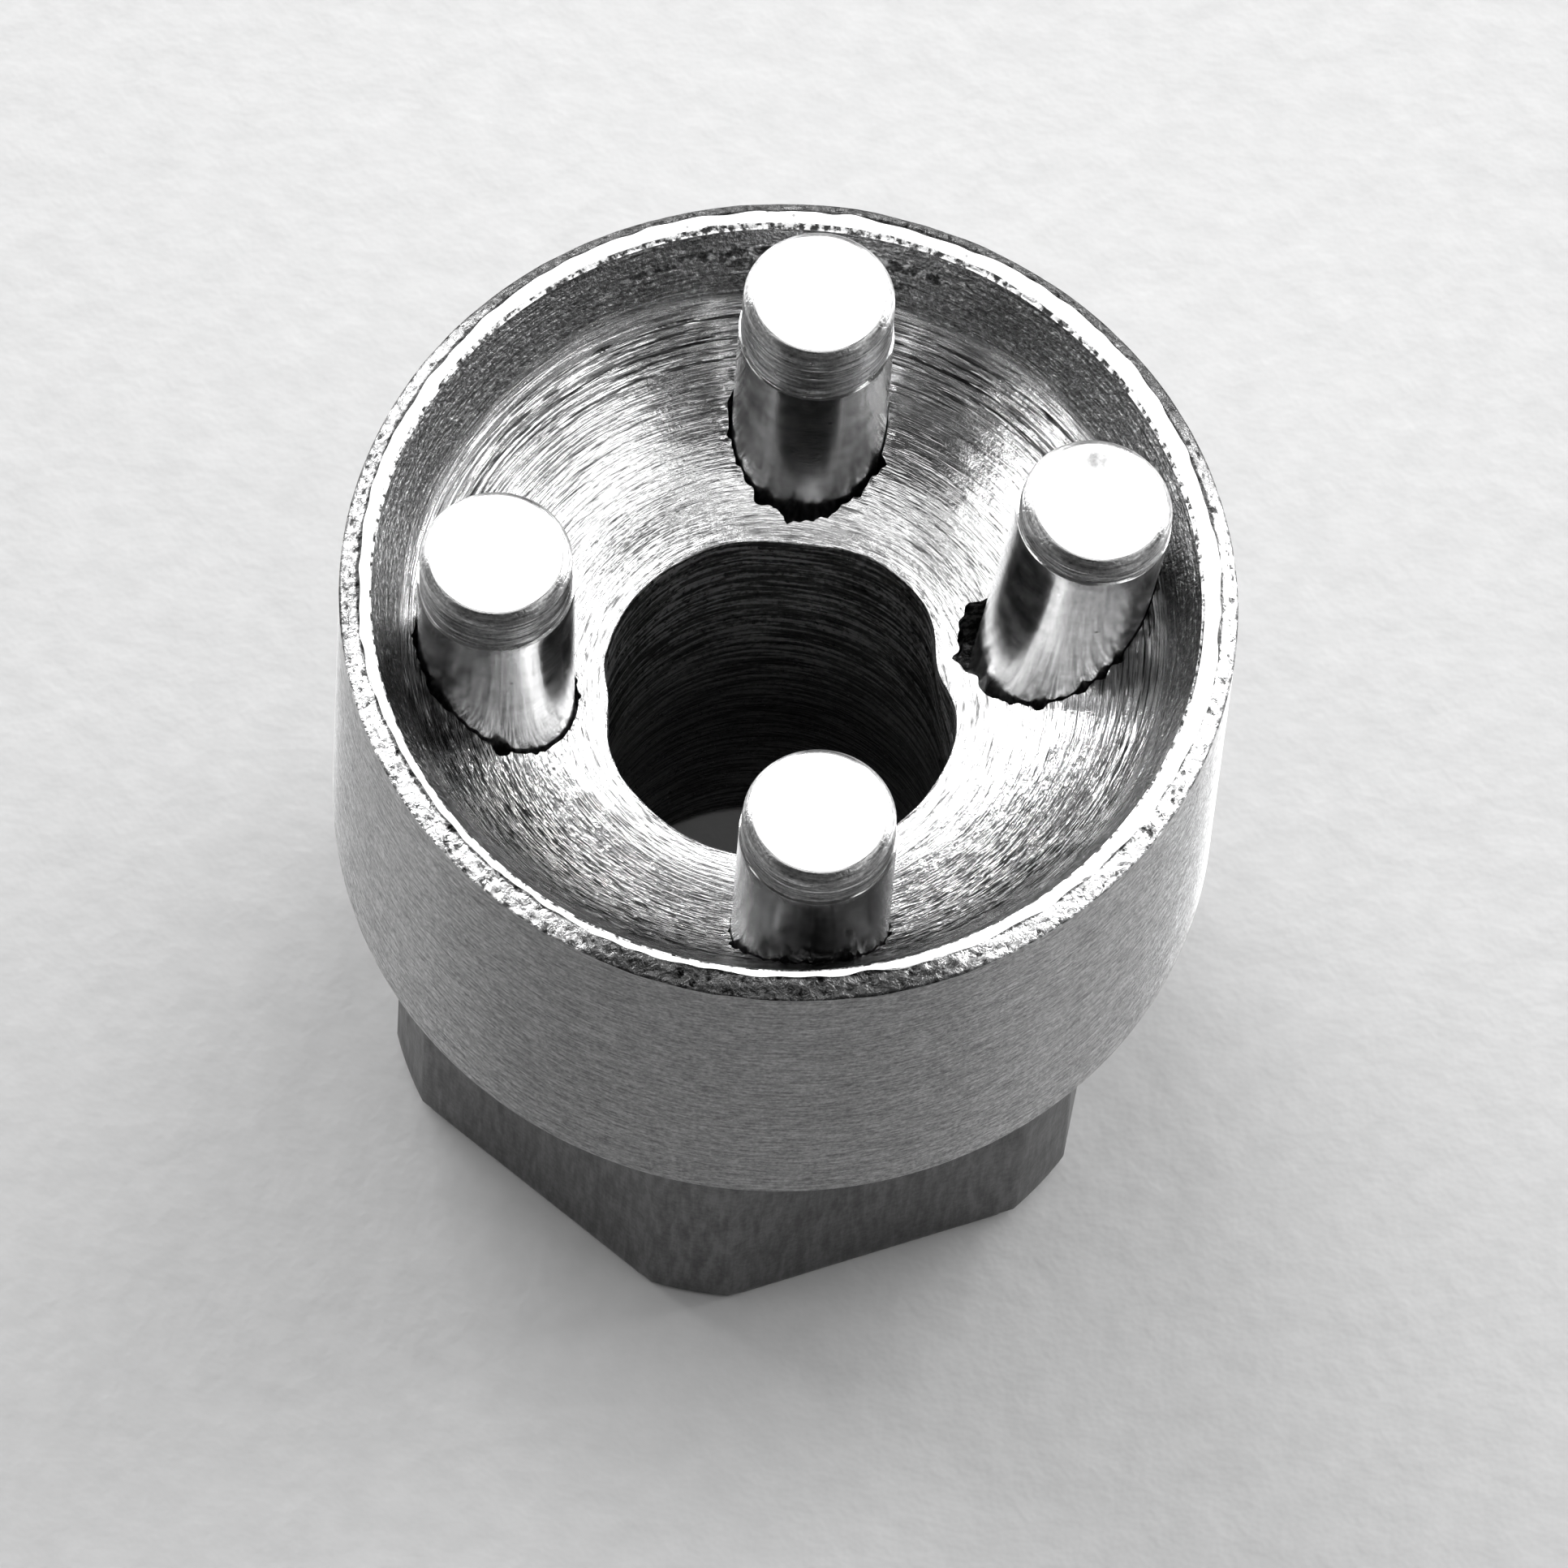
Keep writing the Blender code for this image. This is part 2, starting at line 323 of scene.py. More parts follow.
    # hexagon
    add(rh, HEX_H - 0.12, "hex")
    for z in np.linspace(HEX_H - 0.6, 0.55, 4):
        add(rh, z, "hex")
    add(rh, 0.25, "hex")
    add(np.minimum(rh, HEX_CORNER) - 0.012, 0.16, "hex")
    add(np.minimum(rh - 0.05, HEX_CORNER - 0.20), 0.03, "foot")
    add(np.minimum(rh - 0.12, HEX_CORNER - 0.27), 0.0, "foot")
    for t in (0.25, 0.5, 0.75):
        add((rh - 0.12) * (1 - t) + (plain + 0.30) * t, 0.0, "foot")

    R, Z = np.array(rows_r), np.array(rows_z)
    m = len(R)
    X = R * np.cos(THETA) * MM
    Y = R * np.sin(THETA) * MM
    co = np.stack([X, Y, Z * MM], -1).reshape(-1, 3)
    i0 = np.arange(m)[:, None] * N
    i1 = ((np.arange(m) + 1) % m)[:, None] * N
    j0 = np.arange(N)[None, :]
    j1 = (j0 + 1) % N
    quads = np.stack([i0 + j0, i0 + j1, i1 + j1, i1 + j0], -1).reshape(-1, 4)
    mesh = bpy.data.meshes.new("opener_body_shape")
    mesh.from_pydata(co.tolist(), [], quads.tolist())
    mesh.update()
    vol = mesh_volume(mesh)
    if vol < 0:
        mesh.flip_normals()
    # one material per zone of the section; row m - 1 closes back to row 0
    kind = {"foot": 6, "bore": 1, "dish": 0, "nicks": 7, "land": 2, "bevel": 3, "wall": 4, "shoulder": 5, "hex": 5}
    per_row = []
    for i in range(m):
        a, b = zone[i], zone[(i + 1) % m]
        per_row.append(kind[b] if (a, b) in (("dish", "nicks"), ("land", "bevel"), ("bore", "dish")) else kind[a] if a != "bevel" or b == "bevel" else 4)
    mesh.polygons.foreach_set("material_index", np.repeat(np.array(per_row, np.int32), N))
    obj = bpy.data.objects.new("machined_body", mesh)
    scene.collection.objects.link(obj)
    return obj


def mesh_volume(mesh):
    bm = bmesh.new()
    bm.from_mesh(mesh)
    v = bm.calc_volume(signed=True)
    bm.free()
    return v


def hole_outline(name, n=200):
    """Radius of the hole's broken mouth round the pin, mm, in the pin's own frame."""
    t = 2 * np.pi * np.arange(n) / n
    jag = np.maximum(ring_noise(1, 1.1, n=n)[0] * 0.055 + ring_noise(1, 2.6, n=n)[0] * 0.040, -0.01)
    r = PIN_R + 0.040 + jag
    if name == "pin_right":
        r = r + 0.34 * np.maximum(0, np.cos(t - math.radians(192))) ** 5 * (1 + 0.30 * ring_noise(1, 1.8, n=n)[0]) + 0.09 * bump_at(t, 228, 14) + 0.05 * bump_at(t, 262, 12)
    if name == "pin_left":
        r = r + 0.07 * bump_at(t, 15, 35) + 0.05 * bump_at(t, 300, 40) + 0.07 * bump_at(t, 195, 30)
    if name == "pin_rear":
        r = r + 0.22 * bump_at(t, 268, 36) * (1 + 0.35 * ring_noise(1, 1.6, n=n)[0]) + 0.03 * bump_at(t, 330, 25)
    return np.maximum(r, PIN_R + 0.022)


def cut_pin_holes(body):
    for name in PINS:
        prof = hole_outline(name)
        n = len(prof)
        t = 2 * np.pi * np.arange(n) / n
        m = pin_matrix(name)
        depth = {"pin_right": 9.4, "pin_rear": 8.6, "pin_left": 8.6, "pin_front": 8.6}[name]
        bm = bmesh.new()
        rings = []
        for z, share in ((1.5, 1.0), (-depth + 0.5, 1.0), (-depth, 0.55)):
            rings.append([bm.verts.new(m @ Vector(((PIN_R + 0.03 + (r - PIN_R - 0.03) * share) * math.cos(a),
                                                   (PIN_R + 0.03 + (r - PIN_R - 0.03) * share) * math.sin(a), z)) * MM)
                          for r, a in zip(prof, t)])
        for a, b in zip(rings, rings[1:]):
            for k in range(n):
                bm.faces.new((a[k], b[k], b[(k + 1) % n], a[(k + 1) % n]))
        bm.faces.new(rings[0])
        bm.faces.new(list(reversed(rings[-1])))
        bmesh.ops.recalc_face_normals(bm, faces=bm.faces)
        me = bpy.data.meshes.new("cut_" + name)
        bm.to_mesh(me)
        bm.free()
        cutter = bpy.data.objects.new("cut_" + name, me)
        scene.collection.objects.link(cutter)
        mod = body.modifiers.new("cut", 'BOOLEAN')
        mod.operation = 'DIFFERENCE'
        mod.solver = 'MANIFOLD'
        mod.object = cutter
        bpy.context.view_layer.update()
        done = bpy.data.meshes.new_from_object(body.evaluated_get(bpy.context.evaluated_depsgraph_get()))
        old = body.data
        body.modifiers.clear()
        body.data = done
        bpy.data.meshes.remove(old)
        bpy.data.objects.remove(cutter, do_unlink=True)
        bpy.data.meshes.remove(me)
    body.data.name = "machined_body"


def drop_folds(mesh):
    """The mesh as triangles, without the tiny folded flaps that the hole cuts leave."""
    mesh.calc_loop_triangles()
    nt = len(mesh.loop_triangles)
    co = np.zeros(len(mesh.vertices) * 3, np.float32)
    mesh.vertices.foreach_get("co", co)
    tri = np.zeros(nt * 3, np.int32)
    mesh.loop_triangles.foreach_get("vertices", tri)
    owner = np.zeros(nt, np.int32)
    mesh.loop_triangles.foreach_get("polygon_index", owner)
    kind = np.zeros(len(mesh.polygons), np.int32)
    mesh.polygons.foreach_get("material_index", kind)
    co, where = np.unique(np.round(co.reshape(-1, 3).astype(float), 8), axis=0, return_inverse=True)
    tri = where.reshape(-1)[tri].reshape(-1, 3)
    kind = kind[owner]
    flat = (tri[:, 0] == tri[:, 1]) | (tri[:, 1] == tri[:, 2]) | (tri[:, 2] == tri[:, 0])
    tri, kind = tri[~flat], kind[~flat]
    _, same, count = np.unique(np.sort(tri, axis=1), axis=0, return_inverse=True, return_counts=True)
    single = count[same.reshape(-1)] == 1
    tri, kind = tri[single], kind[single]
    used, tri = np.unique(tri, return_inverse=True)
    out = bpy.data.meshes.new("machined_body")
    out.from_pydata(co[used].tolist(), [], tri.reshape(-1, 3).tolist())
    out.update()
    out.polygons.foreach_set("material_index", kind.astype(np.int32))
    for m in mesh.materials:
        out.materials.append(m)
    return out


# ------------------------------------------------------------------ pins
def build_pin(name):
    turned = PINS[name][0]
    length = PIN_TOP - PIN_BOTTOM
    n = 144
    th = 2 * np.pi * np.arange(n) / n
    rows = []

    def add(r, z):
        rows.append((np.broadcast_to(np.asarray(r, float), (n,)).copy(), np.broadcast_to(np.asarray(z, float), (n,)).copy()))

    neck = PIN_R - 0.06
    wob = ring_noise(1, 6, n=n)[0]
    for r in np.arange(0.12, 1.52, 0.10):
        add(r, 0.0)
    add(PIN_TIP_R - 0.02 + 0.004 * wob, 0.0)
    add(PIN_TIP_R + 0.005 + 0.004 * wob, -0.012)
    add(PIN_TIP_R + 0.12, -0.12)
    add(neck - 0.02, -0.27)
    add(neck, -0.31)
    zs = np.arange(-0.36, -turned + 0.03, -0.045)
    mark = RNG.standard_normal(len(zs)) * 0.0030
    mark[1] -= 0.020
    mark[min(5, len(zs) - 1)] -= 0.016
    if len(zs) > 20:
        mark[14] -= 0.018
    var = ring_noise(len(zs), 8, n=n) * 0.003
    for z, k, v in zip(zs, mark, var):
        add(neck + np.minimum(k + v, 0.02), z)
    step = ring_noise(1, 4, n=n)[0] * 0.02
    add(neck, -turned + step * 0.5)
    add(PIN_R - 0.006, -turned - 0.05 + step)
    add(PIN_R, -turned - 0.10 + step)
    for z in np.linspace(-turned - 0.4, -length + 0.3, 14):
        add(PIN_R, z)
    add(PIN_R, -length + 0.22)
    add(PIN_R - 0.2, -length)
    for r in (1.2, 0.6):
        add(r, -length)
    R = np.array([a for a, _ in rows])
    Z = np.array([b for _, b in rows])
    m = len(R)
    co = np.stack([R * np.cos(th), R * np.sin(th), Z], -1).reshape(-1, 3)
    # a light dimple or two in the flat end
    dimples = {"pin_right": ((-0.22, 1.12, 0.34, 0.032), (0.10, 0.55, 0.16, 0.006)), "pin_rear": ((-0.9, -0.5, 0.16, 0.006), (0.6, 0.9, 0.12, 0.005)),
               "pin_left": ((0.9, 0.3, 0.14, 0.006),), "pin_front": ((-1.15, 0.35, 0.10, 0.012), (0.3, 1.2, 0.10, 0.008))}[name]
    for cx, cy, width, depth in dimples:
        d2 = (co[:, 0] - cx) ** 2 + (co[:, 1] - cy) ** 2
        co[:, 2] -= depth * np.exp(-d2 / width ** 2) * (co[:, 2] > -0.05)
    co = co.tolist()
    faces = []
    for i in range(m - 1):
        for j in range(n):
            faces.append((i * n + j, (i + 1) * n + j, (i + 1) * n + (j + 1) % n, i * n + (j + 1) % n))
    top, bot = len(co), len(co) + 1
    co.append([0, 0, 0.0])
    co.append([0, 0, -length])
    for j in range(n):
        faces.append((top, j, (j + 1) % n))
        faces.append((bot, (m - 1) * n + (j + 1) % n, (m - 1) * n + j))
    me = bpy.data.meshes.new(name + "_ground")
    me.from_pydata([[x * MM, y * MM, z * MM] for x, y, z in co], [], faces)
    me.update()
    if mesh_volume(me) < 0:
        me.flip_normals()
    me.shade_smooth()
    me.set_sharp_from_angle(angle=math.radians(24))
    obj = bpy.data.objects.new(name + "_ground", me)
    scene.collection.objects.link(obj)
    mat = pin_matrix(name)
    mm = mat.copy()
    mm.translation = mat.translation * MM
    obj.matrix_world = mm
    return obj


# ------------------------------------------------------------------ materials
class Tree:
    """Small helper to write node trees compactly."""

    def __init__(self, name, colour=(0.6, 0.6, 0.6), rough=0.3, metallic=1.0):
        self.mat = bpy.data.materials.new(name)
        self.mat.use_nodes = True
        self.nt = self.mat.node_tree
        self.bsdf = self.nt.nodes["Principled BSDF"]
        self.bsdf.inputs["Base Color"].default_value = (*colour, 1)
        self.bsdf.inputs["Metallic"].default_value = metallic
        self.bsdf.inputs["Roughness"].default_value = rough

    def node(self, kind, **kw):
        n = self.nt.nodes.new(kind)
        for k, v in kw.items():
            setattr(n, k, v)
        return n

    def link(self, a, b):
        self.nt.links.new(a, b)

    def math(self, op, a, b=None, c=None, clamp=False):
        n = self.node('ShaderNodeMath', operation=op, use_clamp=clamp)
        for i, v in enumerate((a, b, c)):
            if v is None:
                continue
            if isinstance(v, (int, float)):
                n.inputs[i].default_value = v
            else:
                self.link(v, n.inputs[i])
        return n.outputs[0]

    def combine(self, x, y, z):
        n = self.node('ShaderNodeCombineXYZ')
        for i, v in enumerate((x, y, z)):
            if isinstance(v, (int, float)):
                n.inputs[i].default_value = v
            else:
                self.link(v, n.inputs[i])
        return n.outputs[0]

    def noise(self, vec, scale=1.0, detail=2.0, rough=0.5, distortion=0.0):
        n = self.node('ShaderNodeTexNoise')
        n.inputs["Scale"].default_value = scale
        n.inputs["Detail"].default_value = detail
        n.inputs["Roughness"].default_value = rough
        n.inputs["Distortion"].default_value = distortion
        self.link(vec, n.inputs["Vector"])
        return n.outputs["Fac"]

    def voronoi(self, vec, scale=1.0, feature='F1', rand=1.0):
        n = self.node('ShaderNodeTexVoronoi', feature=feature)
        n.inputs["Scale"].default_value = scale
        n.inputs["Randomness"].default_value = rand
        self.link(vec, n.inputs["Vector"])
        return n.outputs["Distance"]

    def remap(self, v, lo, hi, a=0.0, b=1.0, kind='LINEAR'):
        n = self.node('ShaderNodeMapRange', interpolation_type=kind)
        n.inputs["From Min"].default_value = lo
        n.inputs["From Max"].default_value = hi
        n.inputs["To Min"].default_value = a
        n.inputs["To Max"].default_value = b
        self.link(v, n.inputs["Value"])
        return n.outputs["Result"]

    def ramp(self, v, stops):
        n = self.node('ShaderNodeValToRGB')
        e = n.color_ramp.elements
        while len(e) < len(stops):
            e.new(0.5)
        for el, (p, c) in zip(e, stops):
            el.position = p
            el.color = (c, c, c * 1.003, 1) if isinstance(c, (int, float)) else (*c, 1)
        self.link(v, n.inputs[0])
        return n.outputs["Color"]

    def coords(self):
        """Object coordinates in mm: x, y, z, radius, cos, sin."""
        tc = self.node('ShaderNodeTexCoord')
        sc = self.node('ShaderNodeVectorMath', operation='SCALE')
        sc.inputs["Scale"].default_value = 1000.0
        self.link(tc.outputs["Object"], sc.inputs[0])
        sep = self.node('ShaderNodeSeparateXYZ')
        self.link(sc.outputs[0], sep.inputs[0])
        x, y, z = sep.outputs
        r = self.math('SQRT', self.math('ADD', self.math('MULTIPLY', x, x), self.math('MULTIPLY', y, y)))
        rs = self.math('MAXIMUM', r, 0.001)
        return sc.outputs[0], x, y, z, r, self.math('DIVIDE', x, rs), self.math('DIVIDE', y, rs)

    def bump(self, height, dist_mm, strength=1.0, chain=None):
        n = self.node('ShaderNodeBump')
        n.inputs["Strength"].default_value = strength
        n.inputs["Distance"].default_value = dist_mm * MM
        self.link(height, n.inputs["Height"])
        if chain is not None:
            self.link(chain, n.inputs["Normal"])
        return n.outputs["Normal"]

    def out(self, colour=None, rough=None, normal=None):
        if colour is not None:
            self.link(colour, self.bsdf.inputs["Base Color"])
        if rough is not None:
            self.link(rough, self.bsdf.inputs["Roughness"])
        if normal is not None:
            self.link(normal, self.bsdf.inputs["Normal"])
        return self.mat


def mat_dish():
    t = Tree("steel_dish")
    t.bsdf.inputs["Anisotropic"].default_value = 0.5
    p, x, y, z, r, c, s = t.coords()
    t.link(t.combine(c, s, 0.0), t.bsdf.inputs["Tangent"])
    arc = t.math('ADD', r, z)
    streak = t.noise(t.combine(t.math('MULTIPLY', c, 4.2), t.math('MULTIPLY', s, 4.2), t.math('MULTIPLY', arc, 9.5)), 1.0, 2, 0.6)
    fine = t.noise(t.combine(t.math('MULTIPLY', c, 11.0), t.math('MULTIPLY', s, 11.0), t.math('MULTIPLY', arc, 14.0)), 1.0, 2, 0.6)
    long = t.noise(t.combine(t.math('MULTIPLY', c, 2.2), t.math('MULTIPLY', s, 2.2), t.math('MULTIPLY', arc, 2.2)), 1.0, 3, 0.6)
    flake = t.noise(t.combine(t.math('MULTIPLY', c, 17.0), t.math('MULTIPLY', s, 17.0), t.math('MULTIPLY', arc, 11.0)), 1.0, 2, 0.6)
    grain = t.noise(p, 8.0, 3, 0.65)
    wander = t.math('ADD', r, t.math('MULTIPLY', t.math('SUBTRACT', long, 0.5), 0.9))
    # painted shade: front marks the front half of the dish, which is painted darker; the dull steep zone reaches
    # further in there, the bright cuts give way to dark specks, the colour is dimmed towards the rim and the dull zone
    # is darkened
    front = t.remap(t.math('ADD', s, t.math('MULTIPLY', t.math('SUBTRACT', long, 0.5), 0.8)), -0.60, 0.02, 1.0, 0.0, 'SMOOTHSTEP')
    steep = t.remap(t.math('SUBTRACT', wander, t.math('MULTIPLY', front, 0.35)), 9.02, 9.42, 0.0, 1.0, 'SMOOTHSTEP')
    # coarse marks at the front: a real bump, and painted shade where they swap the bright cuts for dark specks
    coarse = t.math('MULTIPLY', t.math('MULTIPLY', front, t.remap(wander, 5.4, 7.4, 0.0, 1.0, 'SMOOTHSTEP')), t.math('SUBTRACT', 1.0, t.math('MULTIPLY', steep, 0.6)))
    mixd = t.math('ADD', t.math('MULTIPLY', streak, 0.55), t.math('MULTIPLY', fine, 0.45))
    bright = t.ramp(mixd, ((0.36, 0.22), (0.43, 0.60), (0.475, 0.90), (0.60, 0.98)))
    dull = t.ramp(t.math('ADD', t.math('MULTIPLY', grain, 0.6), t.math('MULTIPLY', flake, 0.4)), ((0.38, 0.09), (0.50, 0.18), (0.57, 0.28), (0.64, 0.62)))
    specks = t.ramp(t.math('ADD', t.math('MULTIPLY', flake, 0.6), t.math('MULTIPLY', fine, 0.4)), ((0.43, 0.02), (0.475, 0.12), (0.51, 0.75), (0.56, 0.98)))
    # rings left by the tool chattering just inside the steep part, with painted shade: dark lines in their grooves
    wave = t.math('SINE', t.math('MULTIPLY', t.math('ADD', r, t.math('MULTIPLY', long, 0.10)), 37.0))
    there = t.math('MULTIPLY', t.remap(wander, 8.10, 8.35, 0.0, 1.0, 'SMOOTHSTEP'), t.remap(wander, 8.95, 9.15, 1.0, 0.0, 'SMOOTHSTEP'))
    there = t.math('MULTIPLY', there, t.remap(long, 0.40, 0.52, 0.35, 1.0, 'SMOOTHSTEP'))
    ring = t.math('SUBTRACT', 1.0, t.math('MULTIPLY', there, t.remap(t.math('ADD', wave, t.math('MULTIPLY', t.math('SUBTRACT', fine, 0.5), 5.0)), -0.8, -0.2, 0.85, 0.0, 'SMOOTHSTEP')))
    cut = t.node('ShaderNodeMix', data_type='RGBA', blend_type='MULTIPLY')
    cut.inputs["Factor"].default_value = 1.0
    t.link(bright, cut.inputs[6])
    t.link(ring, cut.inputs[7])
    mark = t.node('ShaderNodeMix', data_type='RGBA')
    t.link(coarse, mark.inputs["Factor"])
    t.link(cut.outputs[2], mark.inputs[6])
    t.link(specks, mark.inputs[7])
    mix = t.node('ShaderNodeMix', data_type='RGBA')
    t.link(steep, mix.inputs["Factor"])
    # painted shade: the front of the dish dimmed towards the rim
    dim = t.math('SUBTRACT', 1.0, t.math('MULTIPLY', front, t.remap(wander, 7.0, 8.8, 0.0, 0.78, 'SMOOTHSTEP')))
    dimmed = t.node('ShaderNodeMix', data_type='RGBA', blend_type='MULTIPLY')
    dimmed.inputs["Factor"].default_value = 1.0
    t.link(mark.outputs[2], dimmed.inputs[6])
    t.link(dim, dimmed.inputs[7])
    t.link(dimmed.outputs[2], mix.inputs[6])
    shade = t.node('ShaderNodeMix', data_type='RGBA', blend_type='MULTIPLY')
    shade.inputs["Factor"].default_value = 1.0
    t.link(dull, shade.inputs[6])
    # painted shade: the dull zone darker at the front
    t.link(t.math('SUBTRACT', 1.0, t.math('MULTIPLY', front, t.remap(t.math('ADD', t.math('MULTIPLY', fine, 0.5), t.math('MULTIPLY', grain, 0.5)), 0.46, 0.56, 0.94, 0.50, 'SMOOTHSTEP'))), shade.inputs[7])
    t.link(shade.outputs[2], mix.inputs[7])
    rough = t.math('ADD', t.remap(long, 0.3, 0.7, 0.13, 0.21), t.math('MULTIPLY', steep, 0.14))
    n1 = t.bump(t.math('ADD', streak, t.math('MULTIPLY', fine, 0.5)), 0.024)
    n2 = t.bump(t.math('MULTIPLY', flake, t.math('ADD', 0.04, coarse)), 0.10, 1.0, n1)
    n3 = t.bump(t.math('MULTIPLY', grain, t.math('ADD', steep, 0.12)), 0.06, 1.0, n2)
    return t.out(mix.outputs[2], rough, n3)


def mat_bore():
    t = Tree("steel_bore")
    t.bsdf.inputs["Anisotropic"].default_value = 0.5
    p, x, y, z, r, c, s = t.coords()
    t.link(t.combine(0.0, 0.0, 1.0), t.bsdf.inputs["Tangent"])
    rings = t.noise(t.combine(t.math('MULTIPLY', c, 2.4), t.math('MULTIPLY', s, 2.4), t.math('MULTIPLY', z, 6.5)), 1.0, 3, 0.6)
    grain = t.noise(p, 7.0, 3, 0.6)
    # painted shade: the bore's colour darkens towards the bottom, for the shade down the bore
    painted_depth_shade = t.remap(z, 5.0, 13.5, 0.10, 1.0, 'SMOOTHSTEP')
    tone = t.ramp(t.math('ADD', t.math('MULTIPLY', rings, 0.75), t.math('MULTIPLY', grain, 0.25)), ((0.40, 0.10), (0.49, 0.26), (0.535, 0.62), (0.58, 1.0)))
    mark = t.node('ShaderNodeMix', data_type='RGBA', blend_type='MULTIPLY')
    mark.inputs["Factor"].default_value = 1.0
    t.link(tone, mark.inputs[6])
    t.link(painted_depth_shade, mark.inputs[7])
    rough = t.remap(grain, 0.3, 0.7, 0.24, 0.40)
    n1 = t.bump(rings, 0.05)
    return t.out(mark.outputs[2], rough, t.bump(grain, 0.012, 1.0, n1))


def mat_land():
    t = Tree("steel_rim_land")
    p, x, y, z, r, c, s = t.coords()
    grain = t.noise(p, 6.0, 4, 0.65)
    nicks = t.voronoi(p, 1.9)
    dark = t.remap(nicks, 0.05, 0.12, 0.35, 1.0, 'SMOOTHSTEP')
    tone = t.math('MULTIPLY', t.remap(grain, 0.3, 0.7, 0.76, 0.94), dark)
    colour = t.ramp(tone, ((0.0, 0.05), (1.0, 0.97)))
    rough = t.remap(grain, 0.3, 0.7, 0.18, 0.32)
    return t.out(colour, rough, t.bump(grain, 0.006))


def mat_nicks():
    t = Tree("steel_rim_nicks")
    p, x, y, z, r, c, s = t.coords()
    grain = t.noise(p, 5.0, 3, 0.6)
    colour = t.ramp(grain, ((0.42, 0.05), (0.49, 0.35), (0.54, 0.92)))
    return t.out(colour, t.remap(grain, 0.3, 0.7, 0.2, 0.4), t.bump(grain, 0.05))


def mat_bevel():
    t = Tree("steel_rim_bevel")
    p, x, y, z, r, c, s = t.coords()
    grain = t.noise(p, 3.6, 4, 0.66, 0.6)
    pits = t.voronoi(p, 4.0)
    across = t.math('SUBTRACT', r, t.math('ADD', t.math('MULTIPLY', c, CUP_OFF[0]), t.math('MULTIPLY', s, CUP_OFF[1])))
    ragged = t.math('MULTIPLY', t.math('SUBTRACT', grain, 0.5), 0.16)
    # painted shade: darker along the bevel's outer and inner edges
    lower = t.remap(t.math('ADD', across, ragged), CUP_R - 0.07, CUP_R - 0.02, 1.0, 0.25, 'SMOOTHSTEP')
    upper = t.remap(t.math('ADD', t.math('ADD', across, ragged), t.math('MULTIPLY', s, -0.085)), CUP_R - BEVEL_W - 0.01, CUP_R - BEVEL_W + 0.06, 0.10, 1.0, 'SMOOTHSTEP')
    mixd = t.math('ADD', t.math('MULTIPLY', grain, 0.75), t.math('MULTIPLY', pits, 0.30))
    tone = t.ramp(mixd, ((0.38, 0.08), (0.44, 0.55), (0.49, 0.90), (0.62, 0.98)))
    mark = t.node('ShaderNodeMix', data_type='RGBA', blend_type='MULTIPLY')
    mark.inputs["Factor"].default_value = 1.0
    t.link(tone, mark.inputs[6])
    # painted shade: the bevel darkened at the front, at the back and at the left
    facing = t.math('ADD', t.math('MULTIPLY', c, 0.139), t.math('MULTIPLY', s, -0.990))
    bevel_front_shade = t.remap(t.math('ADD', facing, t.math('MULTIPLY', ragged, 1.2)), 0.84, 0.95, 1.0, 0.13, 'SMOOTHSTEP')
    back = t.remap(t.math('ADD', s, ragged), 0.15, 0.70, 1.0, 0.07, 'SMOOTHSTEP')
    left = t.remap(t.math('ADD', t.math('MULTIPLY', c, -1.0), ragged), 0.90, 0.97, 1.0, 0.40, 'SMOOTHSTEP')
    t.link(t.math('MULTIPLY', t.math('MULTIPLY', t.math('MULTIPLY', lower, upper), left), t.math('MULTIPLY', bevel_front_shade, back)), mark.inputs[7])
    rough = t.remap(grain, 0.3, 0.7, 0.18, 0.34)
    n1 = t.bump(pits, 0.06)
    return t.out(mark.outputs[2], rough, t.bump(grain, 0.16, 1.0, n1))


def mat_wall():
    t = Tree("steel_wall")
    t.bsdf.inputs["Anisotropic"].default_value = 1.0
    p, x, y, z, r, c, s = t.coords()
    t.link(t.combine(0.0, 0.0, 1.0), t.bsdf.inputs["Tangent"])
    line = t.noise(t.combine(t.math('MULTIPLY', x, 1.3), t.math('MULTIPLY', y, 1.3), t.math('MULTIPLY', z, 10.0)), 1.0, 4, 0.7)
    slow = t.noise(t.combine(t.math('MULTIPLY', x, 0.25), t.math('MULTIPLY', y, 0.25), t.math('MULTIPLY', z, 1.5)), 1.0, 2, 0.5)
    fleck = t.noise(t.combine(t.math('MULTIPLY', x, 2.6), t.math('MULTIPLY', y, 2.6), t.math('MULTIPLY', z, 14.0)), 1.0, 3, 0.65)
    grain = t.noise(p, 9.0, 3, 0.65)
    tone = t.math('ADD', t.math('MULTIPLY', line, 0.35), t.math('ADD', t.math('MULTIPLY', fleck, 0.30), t.math('MULTIPLY', grain, 0.35)))
    colour = t.ramp(tone, ((0.40, 0.24), (0.5, 0.41), (0.59, 0.60)))
    rough = t.remap(slow, 0.35, 0.65, 0.47, 0.52)
    n1 = t.bump(line, 0.010)
    return t.out(colour, rough, t.bump(fleck, 0.110, 1.0, n1))


def mat_hex():
    t = Tree("steel_hexagon_painted_shade")
    p, x, y, z, r, c, s = t.coords()
    line = t.noise(t.combine(t.math('MULTIPLY', x, 4.5), t.math('MULTIPLY', y, 4.5), t.math('MULTIPLY', z, 0.8)), 1.0, 4, 0.62)
    slow = t.noise(p, 0.5, 3, 0.5)
    grain = t.noise(p, 6.0, 3, 0.6)
    tone = t.math('ADD', t.math('MULTIPLY', line, 0.62), t.math('ADD', t.math('MULTIPLY', grain, 0.28), t.math('MULTIPLY', slow, 0.10)))
    # painted shade: the hexagon's base colour is kept far darker than the wall's, for the shade it lies in under the
    # cup
    colour = t.ramp(tone, ((0.40, 0.09), (0.5, 0.13), (0.60, 0.18)))
    rough = t.remap(slow, 0.35, 0.65, 0.32, 0.46)
    n1 = t.bump(line, 0.014)
    return t.out(colour, rough, t.bump(grain, 0.008, 1.0, n1))


